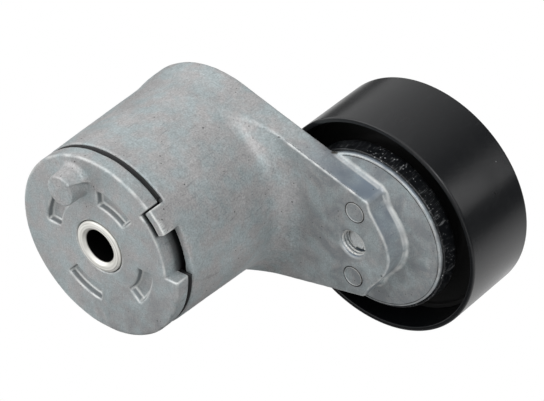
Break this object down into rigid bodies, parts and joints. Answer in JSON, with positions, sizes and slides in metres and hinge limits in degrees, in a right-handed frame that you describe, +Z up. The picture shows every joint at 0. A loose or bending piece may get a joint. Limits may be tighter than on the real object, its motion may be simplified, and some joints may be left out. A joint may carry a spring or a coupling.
{
  "type": "belt tensioner idler",
  "caption": "Cast spring drum and arm that swing on a bolted base and press a smooth black idler pulley against an accessory belt.",
  "frame": {"origin": "pivot axis at the base's mounting face, where the mounting bolt enters", "axes": "+Y along the pivot and pulley axes away from the engine, +X along the arm to the pulley, +Z up"},
  "size_m": [0.1216, 0.0899, 0.07],
  "materials": {
    "cast_aluminium": "as die cast, matt with fine grit",
    "bright_steel": "turned, bright",
    "spring_steel": "dark shot peened",
    "black_rim": "gloss black coat on pressed steel",
    "black_shield": "scratched black coat on pressed steel",
    "black_plastic": "matt moulded nylon",
    "black_rubber": "matt moulded rubber",
    "pale_plastic": "natural nylon"
  },
  "bodies": {
    "base": {"base_plate": "cast_aluminium", "pivot_sleeve": "bright_steel", "seal_ring": "black_rubber", "torsion_spring": "spring_steel", "damper_ring": "black_plastic", "rear_washer": "pale_plastic", "retaining_collar": "bright_steel"},
    "arm": {"arm_casting": "cast_aluminium", "pivot_bushing": "pale_plastic", "dust_shield": "black_shield", "bearing_spacer": "bright_steel", "bearing_inner_ring": "bright_steel", "bolt_washer": "bright_steel", "pulley_bolt": "bright_steel", "dust_cap": "black_plastic"},
    "pulley": {"pulley_rim": "black_rim", "pulley_web": "black_rim", "bearing_outer_ring": "bright_steel", "front_bearing_seal": "black_rubber", "rear_bearing_seal": "black_rubber"},
    "rollers": {"bearing_cage": "pale_plastic", "bearing_ball_1": "bright_steel", "bearing_ball_2": "bright_steel", "bearing_ball_3": "bright_steel", "bearing_ball_4": "bright_steel", "bearing_ball_5": "bright_steel", "bearing_ball_6": "bright_steel", "bearing_ball_7": "bright_steel", "bearing_ball_8": "bright_steel", "bearing_ball_9": "bright_steel"}
  },
  "joints": [
    {"name": "arm_swing", "type": "hinge", "parent": "base", "child": "arm", "pos_m": [0, 0, 0], "axis": [0, 1, 0], "range_deg": [0, 29], "stiffness_Nm_per_rad": 17, "springref_deg": -2.86},
    {"name": "pulley_spin", "type": "hinge", "parent": "arm", "child": "pulley", "pos_m": [0.0549, 0.07, 0], "axis": [0, 1, 0], "continuous": true},
    {"name": "rollers_spin", "type": "hinge", "parent": "arm", "child": "rollers", "pos_m": [0.0549, 0.07, 0], "axis": [0, 1, 0], "continuous": true}
  ],
  "couplings": [
    {"joint": "rollers_spin", "follows": "pulley_spin", "ratio": 0.618}
  ]
}
